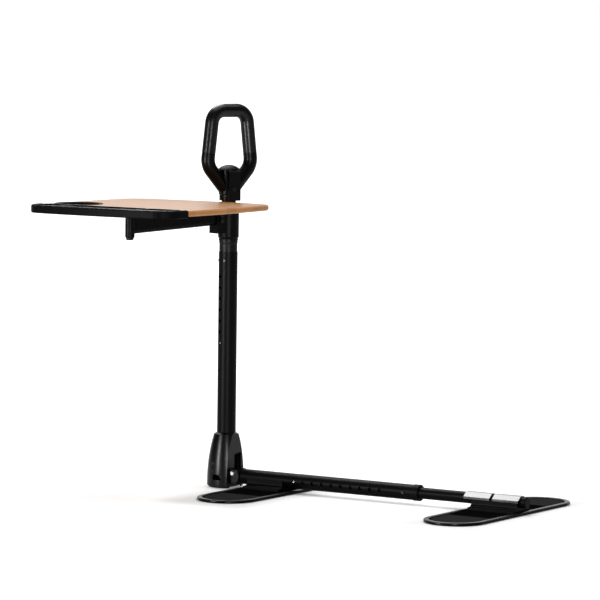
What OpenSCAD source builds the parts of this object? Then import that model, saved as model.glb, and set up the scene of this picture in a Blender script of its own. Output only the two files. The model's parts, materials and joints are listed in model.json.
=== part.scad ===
// Stand-assist handle on a telescopic post, with a swivelling tray and a floor rail on two foot plates.
// Frame: origin on the floor at the centre of the near foot, +X along the rail to the far foot, +Z up.

/* [Feet] */
// Length of a foot plate, across the rail
foot_l = 500; // [400:1:600]
// Width of a foot plate, along the rail
foot_w = 138; // [110:1:180]
// Thickness of the rubber sole
sole_t = 2; // [1:0.5:4]
// Height of a foot plate's rim above the sole
rim_h = 5; // [4:0.5:8]
// Thickness of a foot plate's floor
plate_t = 3; // [2:0.5:3.5]
// Width of the raised rim
rim_w = 12; // [5:0.5:14]
// Thickness of the grip pads
pad_t = 1; // [0.5:0.25:1.5]
// Distance from the rail to where the grip pads begin
pad_start = 125; // [90:1:160]
// Distance between the two feet, centre to centre, with the leg pushed in
foot_pitch = 579; // [540:1:640]

/* [Rail] */
// Height of the rail's axis above the floor
rail_z = 27; // [25:0.5:40]
// Outside diameter of the fixed rail tube
rail_d = 34; // [32:0.5:36]
// Wall of the rail tube
rail_wall = 2; // [1.5:0.25:3]
// Outside diameter of the sliding leg tube
leg_d = 25; // [23:0.5:26]
// Wall of the leg tube
leg_wall = 2; // [1.5:0.25:3]
// Length of the rail tube past the post's axis
rail_l = 496; // [470:1:520]
// Length of the leg tube
leg_l = 618; // [600:1:640]
// Exposed length of the rail's end collar
collar_l = 16; // [10:1:34]
// Distance between adjusting holes
hole_pitch = 25; // [20:0.5:30]
// Adjusting holes in the rail
rail_holes = 10; // [3:1:11]
// First adjusting hole, from the post's axis
first_hole = 191; // [185:1:230]

/* [Hub] */
// Distance from the post's axis to the centre of the near foot
post_setback = 127; // [120:1:150]
// Radius of the hub covers at the base
hub_r = 42.5; // [40:0.5:50]
// Height of the top of the hub
hub_h = 125; // [120:1:150]
// Radius of the arc that the hub's side follows
hub_bulge_r = 389; // [350:1:600]
// Wall of the hub covers
hub_wall = 2.5; // [2:0.5:3.5]
// Distance from the post's axis to the hub's flat front
hub_flat = 25; // [24.5:0.5:32]
// Thickness of the fork's steel plates
fork_t = 5; // [4:0.5:6]

/* [Post] */
// Outside diameter of the fixed post tube
post_d = 42.5; // [39:0.5:44]
// Wall of the post tube
post_wall = 2; // [1.5:0.25:2.5]
// Height of the top of the post tube
post_top = 532; // [500:1:560]
// Outside diameter of the sliding mast tube
mast_d = 32; // [30:0.5:33]
// Wall of the mast tube
mast_wall = 2; // [1.5:0.25:3]
// Height of the foot of the mast tube
mast_foot = 230; // [210:1:250]
// Height of the post's first adjusting hole
post_hole_z = 326; // [300:1:340]
// Adjusting holes in the post
post_holes = 7; // [2:1:7]
// Angle that the post is turned about its axis in the hub
post_turn = -25; // [-90:1:90]

/* [Handle] */
// Height of the top of the handle
handle_top = 864; // [850:1:900]
// Diameter of the grip bar
grip_d = 31; // [26:0.5:34]
// Distance between the grip's legs where they meet the yoke
grip_span = 108; // [100:1:120]
// Lean of the grip's legs towards each other
grip_lean = 6.5; // [3:0.5:9]
// Bend radius of the grip's corners
grip_bend = 30; // [24:1:36]
// Height of the joint between grip and yoke
grip_joint_z = 754; // [745:1:765]
// Slope of the yoke's arms from upright
yoke_slope = 41; // [35:1:45]
// Bend radius of the yoke's arms
yoke_bend = 40; // [34:1:46]
// Radius of the yoke's boss
yoke_r = 23; // [22:0.5:26]
// Height of the bottom of the yoke
yoke_bottom = 647; // [640:1:655]
// Height of the top of the yoke's boss, under its cap
yoke_top = 717; // [708:1:720]

/* [Arm] */
// Distance from the post's axis to the tray's pivot
arm_l = 282; // [270:1:300]
// Direction of the arm from the rail's direction
arm_turn = -106.5; // [-130:0.5:-90]
// Width of the arm
arm_w = 19; // [16:1:26]
// Depth of the arm at the post
arm_root_h = 31; // [26:1:36]
// Depth of the arm at the pivot
arm_tip_h = 44; // [36:1:48]
// Height of the top of the arm
arm_top = 624; // [618:1:625]
// Radius of the swivel bracket
bracket_r = 23.5; // [23:0.5:28]
// Radius of the pivot barrel
barrel_r = 10.5; // [9:0.5:12]
// Diameter of the tray's pivot pin
pivot_d = 10; // [8:0.5:11]

/* [Tray] */
// Height of the top of the board
tray_top = 645; // [644:0.5:646]
// Width of the tray, along the rail
tray_w = 404; // [380:1:440]
// Depth of the tray, with its organiser
tray_l = 440; // [390:1:450]
// Thickness of the board
board_t = 12.5; // [9:0.5:12.5]
// Radius of the tray's corners
tray_corner = 50; // [30:1:70]
// Outward bow of each edge of the tray
tray_bow = 8; // [0:0.5:14]
// Width of the organiser
organiser_w = 80; // [60:1:100]
// Height of the organiser's walls
organiser_h = 17; // [14:0.5:17]
// Wall of the organiser
organiser_wall = 3; // [2:0.5:4]
// Diameter of the cup holder's recess
cup_d = 92; // [80:1:96]
// Depth of the cup holder's recess
cup_depth = 10; // [6:0.5:11]

/* [Hidden] */
$fn = 96;

// Clearances
run_gap = 0.05;     // radial, sliding and turning fits
seat_gap = 0.05;    // radial, fixed fits
part_gap = 0.3;     // between pieces that move past each other
seam_gap = 0.7;      // the shadow line between the grip and the yoke
seam_sink = 0.8;     // how far the line is let in
bend_lap = 0.05;    // how much fuller a bend is than the straight bars that run into it
hole_gap = 0.2;     // radial, bolt and button holes
over = 1;           // how far a cut runs past a face

// Feet
floor_z = sole_t + plate_t;
foot_top = sole_t + rim_h;
foot_r = foot_w / 2;
sole_inset = 4;
pad_inset = rim_w + 4;
edge_r = 1.5;
saddle_l = 94;
saddle_flare = 36;
saddle_half = rail_d / 2 + 3;
clamp_wall = 6.5;
clamp_half = leg_d / 2 + clamp_wall;
clamp_flare = 34;
clamp_crown = 1.2;
clamp_facet = 12;
clamp_gap = 7;
clamp_margin = 1.5;
clamp_shift = -8.5;
screw_r = 2;
screw_head_r = 4;
screw_head_t = 2;
saddle_screw_y = saddle_flare - 8;
clamp_screw_y = clamp_half - 3.4;

// Rail and leg, measured along X from the post's axis
rail_r = rail_d / 2;
rail_bore = rail_r - rail_wall;
leg_r = leg_d / 2;
leg_bore = leg_r - leg_wall;
rail_start = -19;
far_x = post_setback + foot_pitch;
leg_start = far_x + foot_r - leg_l - 8;
leg_end = leg_start + leg_l;
collar_lip = 1;
collar_grip = 40;
guide_flange = 10;
guide_spigot = 22;
plug_head = 12;
plug_spigot = 26;

// Snap buttons
button_r = 4;
button_flange_r = 5.5;
button_flange_t = 1.5;
button_travel = 3.2;
button_hole_r = 4.5;
spring_t = 0.8;
spring_w = 6;
spring_l = 42;
button_room = 42;    // from the leg's inner end to its button, past the guide's spigot
button_step = max(0, ceil((leg_start + button_room - first_hole) / hole_pitch));
button_x = first_hole + button_step * hole_pitch;    // the first hole that the leg's button reaches

// Hub
hub_bottom = 1;
hub_side_z = 15;
hub_rim = 7;
hub_foot = 4;
fork_gap = 0.2;
fork_in = rail_r + fork_gap;
fork_out = fork_in + fork_t;
fork_back = -24;
fork_inset = 2;
fork_front = hub_flat - hub_wall - fork_inset;
fork_floor = rail_z - rail_r - hub_bottom - 2 * over;
ear_tip = 33;
ear_r = 15;
ear_z = rail_z + 1;
slot_gap = 0.8;
slot_near = 4;
slot_top = 78;
seat_z = 80;
seat_t = 5;
socket_wall = 3;
socket_r = post_d / 2 + socket_wall;
socket_top = 104;
bolt_r = 3;
bolt_head_r = 5.4;
bolt_head_t = 4.5;
front_bolt_x = 33;
front_bolt_z = rail_z + 8;
rear_bolt_x = 3;
rear_bolt_z = rail_z - 2;
window_w = 22;
window_h = 12;
cover_screw_x = -10;
cover_screw_z = [38, 56];
cover_boss_r = 5;
cover_screw_r = 1.75;
cover_screw_head = 3.2;
cover_screw_sink = 3;
post_pin_z = 92;

// Post and mast
post_r = post_d / 2;
post_bore = post_r - post_wall;
mast_r = mast_d / 2;
mast_bore = mast_r - mast_wall;
mast_top = yoke_top - 3;
flange_h = 25;
flange_r = post_r - 1;
lip_h = 4;
lip_r = post_r - 0.2;
collar_in = 40;
collar_top = post_top + flange_h;
rivet_r = 1.6;
rivet_z = post_top + 5;
rivet_turn = 35;

// Handle
grip_r = grip_d / 2;
grip_half = grip_span / 2;
stub_l = 10;
spigot_r = 7;
spigot_l = 20;
dome_h = 10;
cap_r = yoke_r + 2;
skirt_h = 13;
skirt_r = yoke_r - 1.5;
spine_w = 30;
spine_front = 26;
spine_bevel = 5;
yoke_bolt_z = 672;

// Swivel and arm
bush_r = mast_r + 3;
bush_flange = 3;
bush_flange_r = bush_r + 3;
bush_bottom = collar_top + part_gap;
bracket_bottom = bush_bottom + bush_flange + part_gap;
bracket_top = arm_top + 4;
clip_bottom = bracket_top + part_gap;
clip_t = 3;
bracket_round = 5;
lug_out = 44;
lug_h = 19;
lug_w = arm_w + 10;
arm_start = bracket_r - 2;
barrel_drop = 8;
barrel_bottom = arm_top - arm_tip_h - barrel_drop;
barrel_top = arm_top + 2;
pivot_r = pivot_d / 2;
bush_wall = 2;
barrel_bore = pivot_r + bush_wall;
bush_l = 16;
washer_t = 3;
washer_r = 15;
washer_bottom = barrel_top + part_gap;
plate_bottom = washer_bottom + washer_t;
nut_h = 5;
nut_r = 8.5;

// Tray, measured from the pivot along X and Y
tray_bottom = tray_top - board_t;
tray_plate_t = tray_bottom - plate_bottom;
plate_w = 100;
plate_gap = 40;
plate_back = 55;
plate_corner = 14;
pivot_x = arm_l * cos(arm_turn);
pivot_y = arm_l * sin(arm_turn);
post_clear = 26;
tray_side = -42;
tray_cx = tray_side - pivot_x;
tray_cy = -post_clear - tray_l / 2 - pivot_y;
organiser_y = tray_cy - tray_l / 2 + organiser_w;
organiser_top = tray_top + 1;
tongue_w = 18;
plate_front = organiser_y + tongue_w + plate_gap;
plate_l = plate_back - plate_front;
plate_y = (plate_back + plate_front) / 2;
tongue_t = 2.5;
board_edge = 3;
organiser_edge = 2;
cell_floor = organiser_top - organiser_h + organiser_wall;
small_cell = 62;
right_cell = 78;
divider_w = 20;
slit_w = 10;
cup_x = tray_cx - tray_w / 2 + 64;
cup_y = organiser_y + cup_d / 2 + 16;
cup_r = cup_d / 2;
cup_wall = 4;
cup_lip = 3;
cup_lip_t = 3;
cup_lip_rise = 1.5;
cup_floor_t = 2;
tray_screw_x = plate_w / 2 - 14;
tray_screw_y = plate_l / 2 - 14;
tray_screw_l = 9;

// Colours
black = [0.05, 0.05, 0.055];
satin = [0.09, 0.09, 0.1];
rubber_grey = [0.16, 0.16, 0.17];
steel = [0.75, 0.76, 0.78];
bamboo = [0.78, 0.55, 0.33];

// Placing helpers

// Moves a piece drawn about the post's axis to its place
module at_post() {
    translate([-post_setback, 0, 0]) children();
}

// Turns a piece drawn with the handle's front along +X to the post's setting
module at_mast() {
    at_post() rotate([0, 0, post_turn]) children();
}

// Places a piece drawn with the arm along +X from the post's axis
module at_arm() {
    at_post() rotate([0, 0, arm_turn]) children();
}

// Places a piece drawn about the tray's pivot, with its axes along the rail's
module at_tray() {
    at_post() translate([pivot_x, pivot_y, 0]) children();
}

// Shape helpers

// A round bar along X from x0 to x1
module bar_x(x0, x1, r) {
    translate([x0, 0, 0]) rotate([0, 90, 0]) cylinder(h = x1 - x0, r = r);
}

// A round bar along Y from y0 to y1
module bar_y(y0, y1, r) {
    translate([0, y0, 0]) rotate([-90, 0, 0]) cylinder(h = y1 - y0, r = r);
}

// An upright tube or ring
module ring(z0, z1, r_out, r_in) {
    translate([0, 0, z0]) difference() {
        cylinder(h = z1 - z0, r = r_out);
        translate([0, 0, -over]) cylinder(h = z1 - z0 + 2 * over, r = r_in);
    }
}

// A rounded rectangle with its corners as arcs
module round_rect(w, l, r) {
    square([w - 2 * r, l], center = true);
    square([w, l - 2 * r], center = true);
    for (sx = [-1, 1], sy = [-1, 1]) translate([sx * (w / 2 - r), sy * (l / 2 - r)]) circle(r);
}

// An oblong with round ends along Y
module oblong(r, l) {
    square([2 * r, l - 2 * r], center = true);
    for (s = [-1, 1]) translate([0, s * (l / 2 - r)]) circle(r);
}

// Foot shapes, drawn about the centre of a foot

// Half of the foot plate's cross-section: floor, rounded outer edge and raised rim
module plate_profile() {
    polygon([
        [0, sole_t], [foot_r - edge_r, sole_t], [foot_r, sole_t + edge_r], [foot_r, foot_top - edge_r],
        [foot_r - edge_r, foot_top], [foot_r - rim_w + edge_r, foot_top], [foot_r - rim_w, floor_z],
        [0, floor_z]
    ]);
}

// Sweeps the plate's cross-section round an oblong
module foot_plate(holes) {
    straight = foot_l - foot_w;
    difference() {
        union() {
            for (s = [0, 1]) rotate([0, 0, 180 * s]) translate([0, straight / 2, 0])
                rotate_extrude(angle = 180) plate_profile();
            for (s = [0, 1]) rotate([0, 0, 180 * s]) translate([0, straight / 2, 0])
                rotate([90, 0, 0]) linear_extrude(straight) plate_profile();
        }
        for (p = holes) translate([p[0], p[1], 0]) screw_cut(sole_t - over);
    }
}

module foot_sole() {
    linear_extrude(sole_t) oblong(foot_r - sole_inset, foot_l - 2 * sole_inset);
}

// Two grip pads, one at each end of the plate
module foot_pads() {
    difference() {
        translate([0, 0, floor_z]) linear_extrude(pad_t) oblong(foot_r - pad_inset, foot_l - 2 * pad_inset);
        translate([-foot_w, -pad_start, 0]) cube([2 * foot_w, 2 * pad_start, foot_top + over]);
    }
}

// A countersunk screw pointing up from the underside of a foot plate
module foot_screw(tip) {
    translate([0, 0, sole_t]) cylinder(h = screw_head_t, r = screw_head_r);
    translate([0, 0, sole_t]) cylinder(h = tip - sole_t, r = screw_r);
}

module screw_cut(z0) {
    translate([0, 0, z0]) cylinder(h = sole_t + screw_head_t - z0, r = screw_head_r + seat_gap);
    translate([0, 0, z0]) cylinder(h = rail_z + rail_d, r = screw_r + seat_gap);
}

// Positions of a pair of screw rows along X and Y
function screw_grid(xs, y) = [for (x = xs, s = [-1, 1]) [x, s * y]];
saddle_x = rim_w + part_gap - foot_r;
saddle_screws = screw_grid([saddle_x + 14, saddle_x + saddle_l - 14], saddle_screw_y);
clamp_l = (foot_w - 2 * clamp_margin - clamp_gap) / 2;
clamp_x = [clamp_margin - foot_r + clamp_shift, clamp_gap / 2 + clamp_shift];
clamp_end = clamp_x[1] + clamp_l;
clamp_screw_x = [saddle_x + 10, clamp_x[0] + clamp_l - 12, clamp_x[1] + 12, clamp_end - 12];
clamp_screws = screw_grid(clamp_screw_x, clamp_screw_y);
clamp_tip = rail_z + 5;
saddle_tip = floor_z + 4.5;

// A cradle that flares out to the plate, drawn in Y and Z and drawn out along X
module cradle(length, half, flare, bore_r) {
    rise = rail_z - floor_z;
    lip = 6;
    fillet = flare - half;
    difference() {
        rotate([90, 0, 90]) linear_extrude(length) difference() {
            union() {
                translate([-flare, floor_z]) square([2 * flare, lip]);
                translate([-half, floor_z]) square([2 * half, rise]);
                translate([-half - fillet / 2, floor_z]) square([2 * half + fillet, lip + fillet / 2]);
            }
            for (s = [-1, 1]) translate([s * (half + fillet / 2 + 0.001), floor_z + lip + fillet / 2])
                circle(fillet / 2);
            translate([0, rail_z]) circle(bore_r);
        }
    }
}

module near_foot_plate() {
    color(black) foot_plate(saddle_screws);
}

module near_foot_sole() {
    color(rubber_grey) foot_sole();
}

module near_foot_pads() {
    color(rubber_grey) foot_pads();
}

module near_saddle() {
    color(black) difference() {
        translate([saddle_x, 0, 0]) cradle(saddle_l, saddle_half, saddle_flare, rail_r + seat_gap);
        for (p = saddle_screws) translate([p[0], p[1], 0]) screw_cut(0);
    }
}

module near_saddle_screws() {
    color(black) for (p = saddle_screws) translate([p[0], p[1], 0]) foot_screw(saddle_tip);
}

module far_foot_plate() {
    color(black) translate([foot_pitch, 0, 0]) foot_plate(clamp_screws);
}

module far_foot_sole() {
    color(rubber_grey) translate([foot_pitch, 0, 0]) foot_sole();
}

module far_foot_pads() {
    color(rubber_grey) translate([foot_pitch, 0, 0]) foot_pads();
}

module far_saddle() {
    color(black) translate([foot_pitch, 0, 0]) difference() {
        translate([saddle_x, 0, 0])
            cradle(-2 * saddle_x, clamp_half, clamp_flare, leg_r + seat_gap);
        for (p = clamp_screws) translate([p[0], p[1], 0]) screw_cut(0);
    }
}

// One clamp over the leg tube, with a flat crown between two sloping facets
module far_clamp(x) {
    crown_z = rail_z + leg_r + clamp_crown;
    shoulder_z = crown_z - clamp_facet * 0.75;
    color(black) translate([foot_pitch, 0, 0]) difference() {
        translate([x, 0, 0]) rotate([90, 0, 90]) linear_extrude(clamp_l) difference() {
            polygon([
                [-clamp_half, rail_z], [clamp_half, rail_z], [clamp_half, shoulder_z],
                [clamp_half - clamp_facet, crown_z], [clamp_facet - clamp_half, crown_z],
                [-clamp_half, shoulder_z]
            ]);
            translate([0, rail_z]) circle(leg_r + seat_gap);
        }
        for (p = clamp_screws) translate([p[0], p[1], rail_z - over])
            cylinder(h = clamp_tip - rail_z + over, r = screw_r + seat_gap);
    }
}

module far_clamp_inner() {
    far_clamp(clamp_x[0]);
}

module far_clamp_outer() {
    far_clamp(clamp_x[1]);
}

module far_clamp_screws() {
    color(black) translate([foot_pitch, 0, 0])
        for (p = clamp_screws) translate([p[0], p[1], 0]) foot_screw(clamp_tip);
}

// Rail and leg

// Moves a piece drawn about the X axis to the height of the rail
module at_rail() {
    at_post() translate([0, 0, rail_z]) children();
}

module rail_tube() {
    color(black) at_rail() difference() {
        bar_x(rail_start, rail_l, rail_r);
        bar_x(rail_start - over, rail_l + over, rail_bore);
        for (k = [0 : rail_holes - 1]) translate([first_hole + k * hole_pitch, 0, 0])
            bar_y(-rail_d, 0, button_hole_r);
        translate([front_bolt_x, 0, front_bolt_z - rail_z]) bar_y(-rail_d, rail_d, bolt_r + hole_gap);
        translate([rear_bolt_x, 0, rear_bolt_z - rail_z]) bar_y(-rail_d, rail_d, bolt_r + hole_gap);
        translate([rail_l - collar_grip / 2, 0, 0]) bar_y(-rail_d, 0, screw_r + seat_gap);
    }
}

// Plastic guide in the rail's end, with a lip that covers the tube's edge
module rail_collar() {
    color(satin) at_rail() difference() {
        union() {
            bar_x(rail_l - collar_grip, rail_l, rail_bore - seat_gap);
            bar_x(rail_l, rail_l + collar_l - collar_lip, rail_r + collar_lip);
            translate([rail_l + collar_l - collar_lip, 0, 0]) rotate([0, 90, 0])
                cylinder(h = collar_lip, r1 = rail_r + collar_lip, r2 = rail_r);
        }
        bar_x(rail_l - collar_grip - over, rail_l + collar_l + over, leg_r + run_gap);
        translate([rail_l - collar_grip / 2, 0, 0]) bar_y(-rail_d, 0, screw_r + seat_gap);
    }
}

module rail_collar_screw() {
    color(black) at_rail() translate([rail_l - collar_grip / 2, 0, 0]) {
        bar_y(-rail_r - 1, 1 - rail_bore, screw_r);
        bar_y(-rail_r - screw_head_t, -rail_r, screw_head_r - 1);
    }
}

module leg_tube() {
    color(black) at_rail() difference() {
        bar_x(leg_start, leg_end, leg_r);
        bar_x(leg_start - over, leg_end + over, leg_bore);
        translate([button_x, 0, 0]) bar_y(-leg_d, 0, button_r + hole_gap);
    }
}

// Guide on the inner end of the leg, which runs in the rail's bore
module leg_guide() {
    color(satin) at_rail() {
        bar_x(leg_start - guide_flange, leg_start, rail_bore - run_gap);
        bar_x(leg_start - over, leg_start + guide_spigot, leg_bore - seat_gap);
    }
}

module leg_end_plug() {
    color(satin) at_rail() {
        bar_x(leg_end, leg_end + plug_head - edge_r, leg_r);
        translate([leg_end + plug_head - edge_r, 0, 0]) rotate([0, 90, 0])
            cylinder(h = edge_r, r1 = leg_r, r2 = leg_r - edge_r);
        bar_x(leg_end - plug_spigot, leg_end + over, leg_bore - seat_gap);
    }
}

// Snap buttons, drawn with the button's travel along -Y and stored pressed in for sliding

// Distance from a tube's axis to the pressed button's flange
function flange_seat(bore) = sqrt(pow(bore, 2) - pow(button_flange_r, 2)) - part_gap - button_travel;

module snap_button(bore, outer_bore) {
    seat = flange_seat(bore);
    tip = outer_bore - part_gap;
    dome = button_r * 0.5;
    bar_y(-tip + dome, -seat + over, button_r);
    bar_y(-seat, button_flange_t - seat, button_flange_r);
    translate([0, dome - tip, 0]) rotate([90, 0, 0]) cylinder(h = dome, r1 = button_r, r2 = button_r * 0.55);
}

// A V of spring strip behind the button, bearing on the far side of the tube
module button_spring(bore) {
    back = flange_seat(bore) - button_flange_t - part_gap;
    far = sqrt(pow(bore, 2) - pow(spring_w / 2, 2)) - part_gap;
    nose = button_flange_r;
    translate([0, 0, -spring_w / 2]) linear_extrude(spring_w) polygon([
        [-nose, -back], [nose, -back], [spring_l, far - spring_t * 2], [spring_l, far],
        [-nose, far], [-nose, far - spring_t], [spring_l - 6 * spring_t, far - spring_t],
        [nose, spring_t - back], [-nose, spring_t - back]
    ]);
}

module rail_snap_button() {
    color(steel) at_rail() translate([button_x, 0, 0]) snap_button(leg_bore, rail_bore);
}

module rail_button_spring() {
    color(steel) at_rail() translate([button_x, 0, 0]) button_spring(leg_bore);
}

module post_snap_button() {
    color(steel) at_mast() translate([0, 0, post_hole_z]) snap_button(mast_bore, post_bore);
}

module post_button_spring() {
    color(steel) at_mast() translate([0, 0, post_hole_z]) rotate([0, 90, 0]) button_spring(mast_bore);
}

// Hub

// Half of the bell's section: an arc from the base to a bevelled top
module bell_section(inset) {
    difference() {
        intersection() {
            translate([hub_r - hub_bulge_r, hub_side_z]) circle(hub_bulge_r - inset, $fn = 360);
            translate([0, hub_bottom - over]) square([hub_r * 2, hub_h - inset - hub_bottom + over]);
        }
        translate([0, hub_bottom - over]) square([hub_r * 2, over]);
        bell_bevel(hub_h - inset, hub_side_r(hub_h) - inset);
        bell_foot(hub_side_r(hub_bottom) - inset);
    }
}

// The bevel round the bottom edge
module bell_foot(r) {
    polygon([
        [r - hub_foot - over, hub_bottom - over], [r + over, hub_bottom + hub_foot + over],
        [r + hub_foot, hub_bottom + hub_foot + over], [r + hub_foot, hub_bottom - over]
    ]);
}

// Radius of the bell's side at a height
function hub_side_r(z) = hub_r - hub_bulge_r + sqrt(pow(hub_bulge_r, 2) - pow(z - hub_side_z, 2));

module bell_bevel(top, r) {
    polygon([
        [r - hub_rim, top + over], [r - hub_rim, top], [r + hub_rim, top - hub_rim],
        [r + 3 * hub_rim, top - hub_rim], [r + 3 * hub_rim, top + over]
    ]);
}

// The bell with its flat front
module bell(inset) {
    intersection() {
        rotate_extrude() bell_section(inset);
        translate([-2 * hub_r, -2 * hub_r, 0]) cube([2 * hub_r + hub_flat - inset, 4 * hub_r, 2 * hub_h]);
    }
}

// One moulded half of the hub, on the side that s points to
module hub_cover(s) {
    color(black) at_post() difference() {
        union() {
            difference() {
                bell(0);
                translate([0, 0, -over]) bell(hub_wall);
                bell(hub_wall);
            }
            intersection() {
                bell(0);
                for (z = cover_screw_z) translate([cover_screw_x, 0, z])
                    bar_y(min(s * fork_out, s * hub_r), max(s * fork_out, s * hub_r), cover_boss_r);
            }
        }
        translate([-2 * hub_r, s > 0 ? -4 * hub_r : 0, -over]) cube([4 * hub_r, 4 * hub_r, 2 * hub_h]);
        translate([0, 0, hub_h / 2]) cylinder(h = hub_h, r = post_r + seat_gap);
        translate([0, -fork_out - slot_gap, -over])
            cube([2 * hub_r, 2 * (fork_out + slot_gap), ear_z + ear_r + slot_gap + over]);
        translate([0, -slot_near, -over]) cube([2 * hub_r, slot_near + fork_out + slot_gap, slot_top + over]);
        translate([rear_bolt_x - window_w / 2, s > 0 ? fork_out : -2 * hub_r, rear_bolt_z - window_h / 2])
            cube([window_w, 2 * hub_r - fork_out, window_h]);
        for (z = cover_screw_z) translate([cover_screw_x, 0, z]) {
            bar_y(-2 * hub_r, 2 * hub_r, cover_screw_r + seat_gap);
            y0 = cover_head_y();
            bar_y(s > 0 ? y0 : -2 * hub_r, s > 0 ? 2 * hub_r : -y0, cover_screw_head + seat_gap);
        }
    }
}

// Distance from the rail's plane to the seat of a cover screw's head
function cover_head_y() = sqrt(pow(hub_r, 2) - pow(cover_screw_x, 2)) - cover_screw_sink - 2;

module hub_cover_near() {
    hub_cover(-1);
}

module hub_cover_far() {
    hub_cover(1);
}

module hub_cover_screws() {
    color(black) at_post() for (s = [-1, 1], z = cover_screw_z) translate([cover_screw_x, 0, z])
        rotate([0, 0, s > 0 ? 0 : 180]) {
            bar_y(fork_in, cover_head_y() + over, cover_screw_r);
            bar_y(cover_head_y(), cover_head_y() + cover_screw_sink, cover_screw_head);
        }
}

// One side plate of the fork, drawn in X and Z
module fork_side() {
    translate([fork_back, hub_bottom + over])
        square([fork_front - fork_back, seat_z - seat_t - hub_bottom - over]);
    translate([fork_front - over, ear_z - ear_r]) square([ear_tip - fork_front + over, 2 * ear_r]);
    translate([ear_tip, ear_z]) circle(ear_r);
}

// Welded steel fork: two side plates, a back and floor, a seat and the socket for the post
module hub_fork() {
    color(satin) at_post() difference() {
        union() {
            for (y = [-fork_out, fork_in]) translate([0, y + fork_t, 0]) rotate([90, 0, 0])
                linear_extrude(fork_t) fork_side();
            translate([fork_back, -fork_in - over, hub_bottom + over])
                cube([rail_start - fork_back, 2 * (fork_in + over), seat_z - seat_t - hub_bottom - over]);
            translate([fork_back, -fork_in - over, hub_bottom + over])
                cube([fork_front - fork_back, 2 * (fork_in + over), fork_floor]);
            translate([0, 0, seat_z - seat_t]) cylinder(h = seat_t, r = socket_r);
            ring(seat_z - over, socket_top, socket_r, post_r + seat_gap);
        }
        translate([hub_flat - hub_wall - part_gap, -hub_r, seat_z - seat_t - over])
            cube([hub_r, 2 * hub_r, socket_top]);
        translate([front_bolt_x, 0, front_bolt_z]) bar_y(-hub_r, hub_r, bolt_r + hole_gap);
        translate([rear_bolt_x, 0, rear_bolt_z]) bar_y(-hub_r, hub_r, bolt_r + hole_gap);
        for (z = cover_screw_z) translate([cover_screw_x, 0, z])
            bar_y(-hub_r, hub_r, cover_screw_r + seat_gap);
        translate([0, 0, post_pin_z]) bar_y(-hub_r, hub_r, bolt_r + seat_gap);
    }
}

// A bolt across the fork with a domed head on the near side and a nut on the far side
module fork_bolt() {
    bar_y(-fork_out - over, fork_out + bolt_head_t + over, bolt_r);
    bar_y(-fork_out - bolt_head_t + edge_r, -fork_out, bolt_head_r);
    translate([0, edge_r - fork_out - bolt_head_t, 0]) rotate([90, 0, 0])
        cylinder(h = edge_r, r1 = bolt_head_r, r2 = bolt_head_r - edge_r);
    translate([0, fork_out, 0]) rotate([-90, 0, 0]) cylinder(h = bolt_head_t, r = bolt_head_r, $fn = 6);
}

module hub_front_bolt() {
    color(steel) at_post() translate([front_bolt_x, 0, front_bolt_z]) fork_bolt();
}

module hub_rear_bolt() {
    color(black) at_post() translate([rear_bolt_x, 0, rear_bolt_z]) fork_bolt();
}

module post_pin() {
    color(steel) at_post() translate([0, 0, post_pin_z]) bar_y(-socket_r, socket_r, bolt_r);
}

// Post and mast

module post_tube() {
    color(black) at_mast() difference() {
        ring(seat_z, post_top, post_r, post_bore);
        for (k = [0 : post_holes - 1]) translate([0, 0, post_hole_z + k * hole_pitch])
            bar_y(-post_d, 0, button_hole_r);
        translate([0, 0, post_pin_z]) rotate([0, 0, -post_turn]) bar_y(-post_d, post_d, bolt_r + seat_gap);
        for (s = [-1, 1]) rotate([0, 0, s * rivet_turn])
            translate([0, 0, post_top - collar_in / 2]) bar_y(-post_d, 0, rivet_r + seat_gap);
    }
}

// Plastic guide in the top of the post, with a narrower flange that stands out of the tube
module post_collar() {
    color(satin) at_mast() difference() {
        union() {
            translate([0, 0, post_top - collar_in]) cylinder(h = collar_in, r = post_bore - seat_gap);
            translate([0, 0, post_top]) cylinder(h = flange_h, r = flange_r);
            translate([0, 0, collar_top - 2 * lip_h]) cylinder(h = lip_h, r1 = flange_r, r2 = lip_r);
            translate([0, 0, collar_top - lip_h]) cylinder(h = lip_h - over, r = lip_r);
        }
        translate([0, 0, post_top - collar_in - over])
            cylinder(h = collar_in + flange_h + 2 * over, r = mast_r + run_gap);
        for (s = [-1, 1]) rotate([0, 0, s * rivet_turn])
            translate([0, 0, post_top - collar_in / 2]) bar_y(-post_d, 0, rivet_r + seat_gap);
    }
}

module post_collar_rivets() {
    color(black) at_mast() for (s = [-1, 1]) rotate([0, 0, s * rivet_turn])
        translate([0, 0, post_top - collar_in / 2]) {
            bar_y(-post_r - 0.5, 0.5 - post_bore, rivet_r);
            bar_y(-post_r - 1, -post_r, rivet_r + over);
        }
}

module mast_tube() {
    color(black) at_mast() difference() {
        ring(mast_foot, mast_top, mast_r, mast_bore);
        translate([0, 0, post_hole_z]) bar_y(-mast_d, 0, button_r + hole_gap);
        translate([0, 0, yoke_bolt_z]) bar_x(-mast_d, mast_d, bolt_r + hole_gap);
    }
}

// Guide on the foot of the mast, which runs in the post's bore
module mast_guide() {
    color(satin) at_mast() {
        translate([0, 0, mast_foot - guide_flange]) cylinder(h = guide_flange, r = post_bore - run_gap);
        translate([0, 0, mast_foot - over]) cylinder(h = guide_spigot + over, r = mast_bore - seat_gap);
    }
}

// Handle, drawn with its loop in the plane of Y and Z

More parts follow.
